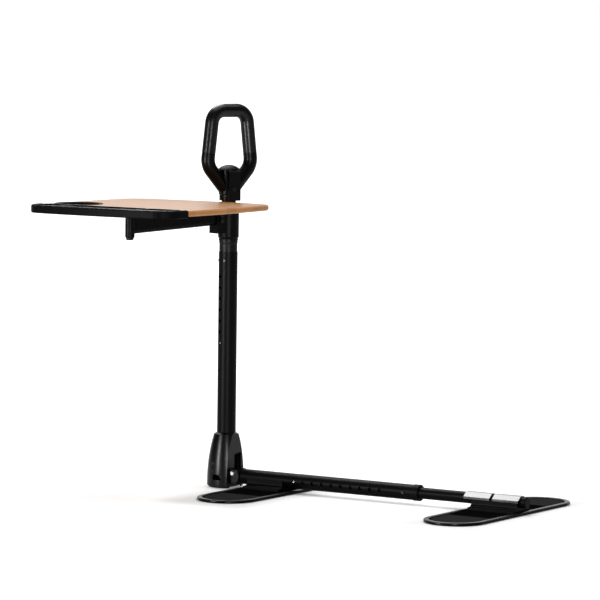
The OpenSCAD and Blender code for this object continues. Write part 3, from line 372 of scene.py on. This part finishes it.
def bamboo_material(name, colour):
    """Laminated bamboo: strips along X, each of its own shade, with fine fibres and darker growth nodes."""
    material, tree, shader, where = new_material(name)
    place = add_node(tree, "ShaderNodeSeparateXYZ", (-700, 0), {0: where}).outputs
    strip = maths(tree, (-520, 160), "MULTIPLY", place["Y"], 1 / STRIP_WIDTH)
    index = maths(tree, (-360, 220), "FLOOR", strip)
    across = maths(tree, (-360, 60), "FRACT", strip)
    key = add_node(tree, "ShaderNodeCombineXYZ", (-200, 220), {"X": index}).outputs[0]
    pick = add_node(tree, "ShaderNodeTexWhiteNoise", (-40, 220), {"Vector": key}, noise_dimensions="3D")
    own_shade = pick.outputs["Value"]
    stretch = add_node(tree, "ShaderNodeMapping", (-520, -200), {"Vector": where, "Scale": FIBRE_SCALE})
    fibre = add_node(tree, "ShaderNodeTexNoise", (-300, -200), {
        "Vector": stretch.outputs["Vector"], "Scale": 1.0, "Detail": 5.0,
    }).outputs["Fac"]

    part_fibre = maths(tree, (-120, -60), "MULTIPLY", fibre, FIBRE_SHARE)
    blend = maths(tree, (-40, 60), "MULTIPLY_ADD", own_shade, STRIP_SHARE, part_fibre)
    dark = [DARK_STRIP * c for c in colour]
    light = [min(1.0, LIGHT_STRIP * c) for c in colour]
    shade = ramp(tree, (140, 220), blend, [(0.0, dark), (MIDDLE_STRIP, colour), (1.0, light)])
    white, glue = (1, 1, 1), (GLUE_SHADE, GLUE_SHADE, GLUE_SHADE)
    seam = ramp(tree, (140, 20), across, [(0.0, glue), (GLUE_WIDTH, white), (1.0, white)])
    joint = add_node(tree, "ShaderNodeMix", (380, 160), data_type="RGBA", blend_type="MULTIPLY")
    fill(tree, joint, {"Factor": 1.0, "A": shade, "B": seam})

    along = maths(tree, (-360, -480), "MULTIPLY", place["X"], KNUCKLES_PER_METRE)
    shifted = maths(tree, (-200, -420), "MULTIPLY_ADD", own_shade, KNUCKLE_SHIFT, along)
    cycle = maths(tree, (-40, -420), "FRACT", shifted)
    none = (0, 0, 0)
    knuckle = ramp(tree, (120, -420), cycle, [(0.0, none), (KNUCKLE_PEAK, white), (KNUCKLE_END, none)])
    weight = maths(tree, (300, -300), "MULTIPLY", knuckle, KNUCKLE_WEIGHT)
    brown = (*(KNUCKLE_SHADE * c for c in colour), 1)
    ring = add_node(tree, "ShaderNodeMix", (380, -80), data_type="RGBA", blend_type="MIX")
    fill(tree, ring, {"Factor": weight, "A": joint.outputs["Result"], "B": brown})

    relief = add_node(tree, "ShaderNodeBump", (380, -420), {
        "Strength": FIBRE_BUMP, "Distance": RELIEF_DEPTH, "Height": fibre,
    })
    fill(tree, shader, {
        "Base Color": ring.outputs["Result"], "Normal": relief.outputs["Normal"], "Roughness": 0.42,
        "Specular IOR Level": 0.25, "Coat Weight": 0.3, "Coat Roughness": 0.25,
    })
    return material


# Finishes, by material slot or by the names that NODE_FINISH gives to single nodes

MATERIALS = {}
NODE_FINISH = {
    "far_clamp_inner": "clamp_coat",
    "far_clamp_outer": "clamp_coat",
    "near_saddle": "saddle_coat",
    "far_saddle": "saddle_coat",
    "rail_tube": "saddle_coat",
    "leg_tube": "saddle_coat",
    "rail_collar": "cap_moulding",
    "leg_end_plug": "cap_moulding",
    "yoke_cap": "cap_moulding",
    "handle_yoke": "yoke_moulding",
    "organiser": "bin_moulding",
    "cup_holder": "bin_moulding",
}


def finishes(sizes):
    """Every finish of the object, made once. A skin's row holds its material's name, colour, roughness, grain
    scale, bump strength and specular level; the plated one adds its metallic value and shade spread."""
    if MATERIALS:
        return MATERIALS
    coat, pad = tuple(sizes.coat_colour), tuple(sizes.pad_colour)
    jet, ink, soot = (0.002, 0.002, 0.0022), (0.003, 0.003, 0.0033), (0.004, 0.004, 0.0044)
    skins = {
        "black_metal": ("satin_powder_coat", coat, 0.38, 1400, 0.004, 0.07),
        "plate_coat": ("plate_matte_coat", coat, 0.6, 1400, 0.08, 0.0),
        "plate_edge": ("plate_edge_coat", coat, 0.28, 1400, 0.01, 0.2),
        "clamp_coat": ("clamp_gloss_coat", coat, 0.2, 1400, 0.01, 0.85),
        "saddle_coat": ("saddle_coat", coat, 0.4, 1400, 0.01, 0.045),
        "fork_steel": ("fork_powder_coat", coat, 0.34, 1100, 0.04, 0.2),
        "sole_rubber": ("sole_rubber", (0.006, 0.006, 0.006), 0.8, 700, 0.3, 0.0),
        "pad_rubber": ("grip_pad", pad, 0.6, 1800, 0.2, 0.0),
        "guide_plastic": ("guide_moulding", (0.005, 0.005, 0.0055), 0.4, 900, 0.06, 0.15),
        "gloss_black": ("hub_moulding", jet, 0.28, 1200, 0.001, 0.21),
        "cap_moulding": ("cap_moulding", soot, 0.45, 1200, 0.05, 0.05),
        "yoke_moulding": ("yoke_moulding", jet, 0.3, 1200, 0.001, 0.12),
        "bin_moulding": ("bin_moulding", ink, 0.46, 1200, 0.01, 0.035),
        "lip_moulding": ("lip_moulding", soot, 0.22, 1200, 0.004, 0.45),
        "grip_plastic": ("soft_grip", jet, 0.29, 1600, 0.001, 0.3),
        "black_steel": ("black_oxide", (0.006, 0.006, 0.0065), 0.3, 900, 0.03, 0.25),
        "bright_steel": ("zinc_plate", (0.66, 0.67, 0.69), 0.26, 800, 0.06, 0.5, 1.0, 0.12),
    }
    MATERIALS.update({key: skin_material(*skin) for key, skin in skins.items()})
    MATERIALS["bamboo"] = bamboo_material("laminated_bamboo", tuple(sizes.bamboo_colour))
    return MATERIALS


# Settings


class HandleSizes(bpy.types.PropertyGroup):
    """Sizes and colours of the dressing."""

    coat_colour: bpy.props.FloatVectorProperty(
        name="Coat Colour", description="Powder coat of the tubes and plates", subtype="COLOR", size=3,
        min=0.0, max=1.0, default=(0.003, 0.003, 0.0033),
    )
    pad_colour: bpy.props.FloatVectorProperty(
        name="Pad Colour", description="Grip pads on the foot plates", subtype="COLOR", size=3,
        min=0.0, max=1.0, default=(0.028, 0.028, 0.029),
    )
    bamboo_colour: bpy.props.FloatVectorProperty(
        name="Bamboo Colour", description="Middle shade of the tray's board", subtype="COLOR", size=3,
        min=0.0, max=1.0, default=(0.48, 0.205, 0.05),
    )
    floor_colour: bpy.props.FloatVectorProperty(
        name="Floor Colour", description="Plain studio floor", subtype="COLOR", size=3,
        min=0.0, max=1.0, default=(0.95, 0.95, 0.95),
    )
    tread_pitch: bpy.props.FloatProperty(
        name="Tread Pitch", description="Pitch of the grip pads' raised pattern", default=0.007, min=0.002,
        unit="LENGTH",
    )
    floor_lift: bpy.props.FloatProperty(
        name="Floor Lift", description="White that the camera sees over the floor's own light, at the feet",
        default=0.08, min=0.0,
    )
    lip_radius: bpy.props.FloatProperty(
        name="Lip Radius", description="Radius of the rolled lip on the organiser", default=0.0011,
        min=0.0004, unit="LENGTH",
    )
    soft_light: bpy.props.FloatProperty(
        name="Soft Light", description="Strength of the even light from all round", default=0.6, min=0.0,
    )
    lens: bpy.props.FloatProperty(
        name="Lens", description="Focal length of the camera, in millimetres on a 36 mm sensor",
        default=226.8, min=20.0,
    )
    distance: bpy.props.FloatProperty(
        name="Camera Distance", description="Distance of the camera from the post", default=8.5, min=1.0,
        unit="LENGTH",
    )
    azimuth: bpy.props.FloatProperty(
        name="Azimuth", description="Turn of the camera about the post", default=math.radians(33.63),
        subtype="ANGLE",
    )
    elevation: bpy.props.FloatProperty(
        name="Elevation", description="Height angle of the camera", default=math.radians(4.59),
        subtype="ANGLE",
    )
    roll: bpy.props.FloatProperty(
        name="Roll", description="Turn of the camera about its own axis", default=math.radians(0.61),
        subtype="ANGLE",
    )


# Operators


class OBJECT_OT_handle_finishes(bpy.types.Operator):
    """Gives every solid of the frame the finish of its node or of its material slot"""

    bl_idname = "object.handle_finishes"
    bl_label = "Finishes"

    def execute(self, context):
        made = finishes(context.scene.stand_handle)
        for entry in FRAME["record"]["subparts"]:
            mesh = NODES[entry["node"]].data
            mesh.materials.clear()
            mesh.materials.append(made[NODE_FINISH.get(entry["node"], entry["material_slot"])])
        return {"FINISHED"}


class OBJECT_OT_handle_feet(bpy.types.Operator):
    """Makes the foot plates with their rounded rims, and their grip pads with a raised pattern"""

    bl_idname = "object.handle_feet"
    bl_label = "Feet"

    def execute(self, context):
        sizes = context.scene.stand_handle
        made = finishes(sizes)
        for name, body, shift in (("near", "base", 0.0), ("far", "leg", FOOT_PITCH)):
            plate = self.plate(f"{name}_foot_shell", shift, made)
            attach(plate, body)
            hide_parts(f"{name}_foot_plate")
            tread = self.tread(f"{name}_foot_tread", shift, sizes, made)
            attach(tread, body)
            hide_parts(f"{name}_foot_pads")
        return {"FINISHED"}

    def plate(self, name, shift, made):
        """The plate's section, a floor inside a rim with rounded edges, carried round the oblong. The two
        upper arcs of the rim take the glossier edge coat."""
        half, inner = FOOT_WIDTH / 2, FOOT_WIDTH / 2 - RIM_WIDTH
        rim, lip, low = RIM_ROUND, RIM_INNER_ROUND, UNDER_ROUND
        under = [(0.0, SOLE), (half - UNDER_RING, SOLE), (half - low, SOLE)]
        foot = arc_points((half - low, SOLE + low), low, -90, 0, 5)[1:]
        outside = arc_points((half - rim, PLATE_TOP - rim), rim, 0, 90, 9)
        inside = arc_points((inner + lip, PLATE_TOP - lip), lip, 90, 165, 8)
        floor = [(inner, PLATE_FLOOR), (inner - PAD_GAP, PLATE_FLOOR), (0.0, PLATE_FLOOR)]
        section = np.concatenate([under, foot, outside, inside, floor])
        points, faces = oblong_sweep(section, FOOT_WIDTH, FOOT_LENGTH)
        points[..., 0] += shift
        plate = put_mesh(name, points, faces.tolist(), made["plate_coat"])
        plate.data.materials.append(made["plate_edge"])
        start = len(under) + len(foot)
        column = np.tile(np.arange(len(section) - 1), len(points))
        arcs = (column >= start) & (column < start + len(outside) + len(inside) - 1)
        plate.data.polygons.foreach_set("material_index", arcs.astype(np.int32))
        close_seams(plate)
        return plate

    def tread(self, name, shift, sizes, made):
        """Two pads that fill the plate's ends: a grid over each end, raised by the positive part of two
        crossed sine waves of one pitch, which fades out towards the pad's border."""
        reach = FOOT_WIDTH / 2 - RIM_WIDTH - PAD_GAP
        turn_y = FOOT_LENGTH / 2 - FOOT_WIDTH / 2
        straight_rows, round_rows, cols = 60, 64, 110
        rows = straight_rows + round_rows
        along = np.concatenate([
            np.linspace(PAD_START, turn_y, straight_rows, endpoint=False),
            turn_y + reach * np.sin(np.linspace(0.0, math.pi / 2, round_rows)),
        ])
        across = np.linspace(-1.0, 1.0, cols)
        half = np.sqrt(np.clip(reach ** 2 - np.clip(along - turn_y, 0, None) ** 2, 0, None))
        x = half[:, None] * across[None, :]
        y = np.broadcast_to(along[:, None], x.shape)
        turns = 2 * math.pi / sizes.tread_pitch
        wave = np.clip(np.sin(turns * (x + y)) * np.sin(turns * (x - y)), 0, 1)
        border = np.minimum(half[:, None] - np.abs(x), y - PAD_START)
        fade = np.clip(border / PAD_BORDER, 0, 1)
        thick = (PAD_TOP - PLATE_FLOOR) * (PAD_BASE_SHARE + (1 - PAD_BASE_SHARE) * wave * fade)
        top = np.stack([x, y, PLATE_FLOOR + thick], axis=-1)
        base = np.stack([x, y, np.full_like(x, PLATE_FLOOR - PAD_SINK)], axis=-1)
        skin = grid_faces(rows, cols)
        count = rows * cols
        rim = np.concatenate([
            np.arange(cols), cols * np.arange(1, rows) + cols - 1,
            count - 2 - np.arange(cols - 1), cols * np.arange(rows - 2, 0, -1),
        ])
        ahead = np.roll(rim, -1)
        wall = np.stack([rim, ahead, ahead + count, rim + count], axis=-1)
        faces = np.concatenate([skin, skin[:, ::-1] + count, wall[:, ::-1]])
        end = np.concatenate([top.reshape(-1, 3), base.reshape(-1, 3)])
        other = end * np.array([-1.0, -1.0, 1.0])
        points = np.concatenate([end, other]) + np.array([shift, 0.0, 0.0])
        both = np.concatenate([faces, faces + len(end)])
        pads = put_mesh(name, points, both.tolist(), made["pad_rubber"])
        close_seams(pads)
        return pads


class OBJECT_OT_handle_bin_lips(bpy.types.Operator):
    """Runs a fine rolled lip round the organiser's cells and along its front edge"""

    bl_idname = "object.handle_bin_lips"
    bl_label = "Organiser Lips"

    def execute(self, context):
        sizes = context.scene.stand_handle
        made = finishes(sizes)
        radius = sizes.lip_radius
        runs = [bead(rounded_loop(x, CELL_Y, CELL_CORNER, radius), radius, BIN_TOP, True) for x in CELL_X]
        runs.append(bead(tray_front(LIP_INSET + radius), radius, BIN_TOP, False))
        starts = np.cumsum([0] + [len(points) for points, _, _ in runs])
        points = np.concatenate([points for points, _, _ in runs])
        faces = []
        for start, (_, quads, caps) in zip(starts, runs):
            faces += (quads + start).tolist() + [(cap + start).tolist() for cap in caps]
        lips = put_mesh("organiser_lips", points, faces, made["lip_moulding"])
        close_seams(lips)
        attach(lips, "tray")
        return {"FINISHED"}


class OBJECT_OT_handle_stage(bpy.types.Operator):
    """Lays the floor and sets the light and the camera"""

    bl_idname = "object.handle_stage"
    bl_label = "Studio"

    def execute(self, context):
        sizes = context.scene.stand_handle
        context.scene.view_settings.view_transform = "Standard"
        self.floor(sizes)
        self.world(context.scene, sizes)
        self.lamps(context.scene)
        self.camera(context.scene, sizes)
        return {"FINISHED"}

    def floor(self, sizes):
        """A wide flat square that keeps the shadow at the feet and runs out to white for the camera. Its
        lift, a painted white glow for the camera, follows the distance from the nearer foot: weak at the
        feet, and strong enough beyond them to wash out the shadows that fall there."""
        material, tree, shader, where = new_material("studio_floor")
        fill(tree, shader, {
            "Base Color": (*sizes.floor_colour, 1), "Roughness": 0.9, "Specular IOR Level": 0.0,
        })
        # Two folds about half the pitch bring both feet to the same place
        middle = (FOOT_PITCH / 2, 0.0, 0.0)
        place = where
        for x in (-1420, -1100):
            place = vectors(tree, (x, 200), "SUBTRACT", place, middle)
            place = vectors(tree, (x + 160, 200), "ABSOLUTE", place)
        beyond = vectors(tree, (-780, 200), "SUBTRACT", place, (FOOT_WIDTH / 2, FOOT_LENGTH / 2, 1.0))
        outside = vectors(tree, (-620, 200), "MAXIMUM", beyond, (0.0, 0.0, 0.0))
        reach = vectors(tree, (-460, 200), "LENGTH", outside)
        # Painted white glow: weak at the feet so their shadow stays, strong a few centimetres off so farther
        # shadows wash out
        near = soft_step(tree, (-300, 60), reach, SHADOW_REACH, (sizes.floor_lift, NEAR_LIFT))
        far = soft_step(tree, (-300, 300), reach, WHITE_REACH, (0.0, FAR_LIFT))
        lift = maths(tree, (-140, 200), "ADD", near, far)
        path = add_node(tree, "ShaderNodeLightPath", (-600, 500))
        seen = maths(tree, (-60, 400), "MULTIPLY", seen_straight(tree, (-300, 500), path), lift)
        white = add_node(tree, "ShaderNodeEmission", (560, 300), {"Strength": seen})
        both = add_node(tree, "ShaderNodeAddShader", (760, 200))
        fill(tree, both, {0: shader.outputs["BSDF"], 1: white.outputs[0]})
        out = next(node for node in tree.nodes if node.type == "OUTPUT_MATERIAL")
        fill(tree, out, {"Surface": both.outputs[0]})
        side = np.linspace(-FLOOR_REACH, FLOOR_REACH, 9)
        x, y = np.meshgrid(side, side, indexing="ij")
        points = np.stack([x, y, np.full_like(x, FLOOR_LEVEL)], axis=-1)
        faces = grid_faces(len(side), len(side))[:, ::-1]
        floor = put_mesh("studio_floor", points, faces.tolist(), material, smooth=False)

    def world(self, scene, sizes):
        """Soft even light, white to the camera, and a white backdrop behind the object in reflections."""
        world = bpy.data.worlds.new("studio")
        scene.world = world
        world.use_nodes = True
        tree = world.node_tree
        tree.nodes.clear()
        path = add_node(tree, "ShaderNodeLightPath", (-600, 300))
        glossy = path.outputs["Is Glossy Ray"]
        way = add_node(tree, "ShaderNodeTexCoord", (-1000, 0)).outputs["Generated"]
        view = (-math.sin(sizes.azimuth), math.cos(sizes.azimuth), 0.0)
        ahead = vectors(tree, (-800, 0), "DOT_PRODUCT", way, view)
        backdrop = soft_step(tree, (-600, 0), ahead, BACKDROP_EDGE, (0.0, 1.0))
        shine = maths(tree, (-380, 100), "MULTIPLY", glossy, backdrop)
        direct = seen_straight(tree, (-380, 320), path)
        either = maths(tree, (-180, 300), "MAXIMUM", direct, shine)
        # Reflections see only a part of the soft light
        full = sizes.soft_light
        dim = maths(tree, (-180, 140), "MULTIPLY_ADD", glossy, -GLOSSY_DIM * full, full)
        soft = add_node(tree, "ShaderNodeBackground", (0, 100), {"Color": (1, 1, 1, 1), "Strength": dim})
        white = add_node(tree, "ShaderNodeBackground", (0, -100), {"Color": (1, 1, 1, 1), "Strength": 1.0})
        mix = add_node(tree, "ShaderNodeMixShader", (300, 0))
        fill(tree, mix, {"Fac": either, 1: soft.outputs[0], 2: white.outputs[0]})
        add_node(tree, "ShaderNodeOutputWorld", (600, 0), {"Surface": mix.outputs[0]})

    def lamps(self, scene):
        """A broad softbox above, a bright one behind and two upright strips beside the camera. Each row is a
        name, place, aim, size and power. Diffuse rays find only the one above."""
        spots = [
            ("softbox_top", (0.1, 0.1, 3.2), (0.1, 0.0, 0.0), (2.4, 2.4), 44.0),
            ("softbox_back", (-1.07, 0.78, 2.4), (0.3, 0.0, 0.1), (1.2, 1.2), 50.0),
            ("strip_left", (-0.98, -2.56, 0.45), (-0.12, 0.0, 0.45), (0.34, 1.1), 60.0),
            ("strip_right", (1.68, -2.27, 0.45), (-0.12, 0.0, 0.45), (0.26, 1.1), 36.0),
        ]
        for name, place, aim, (wide, tall), power in spots:
            lamp = bpy.data.lights.new(name, "AREA")
            lamp.shape = "RECTANGLE"
            lamp.size = wide
            lamp.size_y = tall
            lamp.energy = power
            obj = bpy.data.objects.new(name, lamp)
            obj.visible_diffuse = name == "softbox_top"
            obj.visible_camera = False
            scene.collection.objects.link(obj)
            back = (Vector(place) - Vector(aim)).normalized()
            obj.matrix_world = Matrix.Translation(place) @ back.to_track_quat("Z", "Y").to_matrix().to_4x4()

    def camera(self, scene, sizes):
        """The photograph's view: placed from the fitted angles, then aimed at the middle of the frame."""
        turn, rise, roll = sizes.azimuth, sizes.elevation, sizes.roll
        back = Vector((math.sin(turn) * math.cos(rise), -math.cos(turn) * math.cos(rise), math.sin(rise)))
        right = Vector((math.cos(turn), math.sin(turn), 0))
        up = back.cross(right)
        focal = sizes.lens / SENSOR * FRAME_PIXELS
        off_x, off_y = FRAME_SHIFT
        x = off_x * math.cos(roll) + off_y * math.sin(roll)
        y = off_y * math.cos(roll) - off_x * math.sin(roll)
        ahead = (-back + right * (x / focal) - up * (y / focal)).normalized()
        level = up * math.cos(roll) - right * math.sin(roll)
        side = ahead.cross(level).normalized()
        over = side.cross(ahead)
        data = bpy.data.cameras.new("photo_camera")
        data.sensor_fit = "HORIZONTAL"
        data.sensor_width = SENSOR
        data.lens = sizes.lens
        data.clip_end = 100.0
        obj = bpy.data.objects.new("photo_camera", data)
        scene.collection.objects.link(obj)
        place = Vector((POST_X, 0, LOOK_HEIGHT)) + back * sizes.distance
        turn_matrix = Matrix((side, over, -ahead)).transposed()
        obj.matrix_world = Matrix.Translation(place) @ turn_matrix.to_4x4()
        scene.camera = obj


class VIEW3D_PT_stand_handle(bpy.types.Panel):
    """Lists the dressing's settings and steps"""

    bl_label = "Stand Handle"
    bl_idname = "VIEW3D_PT_stand_handle"
    bl_space_type = "VIEW_3D"
    bl_region_type = "UI"
    bl_category = "Stand Handle"

    def draw(self, context):
        column = self.layout.column()
        for name in HandleSizes.__annotations__:
            column.prop(context.scene.stand_handle, name)
        for operator in OPERATORS:
            column.operator(operator.bl_idname)


OPERATORS = (
    OBJECT_OT_handle_finishes,
    OBJECT_OT_handle_feet,
    OBJECT_OT_handle_bin_lips,
    OBJECT_OT_handle_stage,
)
CLASSES = (HandleSizes, *OPERATORS, VIEW3D_PT_stand_handle)


def register():
    """Registers the settings, the operators and the panel."""
    for item in CLASSES:
        bpy.utils.register_class(item)
    bpy.types.Scene.stand_handle = bpy.props.PointerProperty(type=HandleSizes)


def unregister():
    """Takes them out again, in the opposite order."""
    del bpy.types.Scene.stand_handle
    for item in reversed(CLASSES):
        bpy.utils.unregister_class(item)


def main():
    """Builds everything in order."""
    register()
    for operator in OPERATORS:
        group, name = operator.bl_idname.split(".")
        getattr(getattr(bpy.ops, group), name)()


if __name__ == "__main__":
    main()
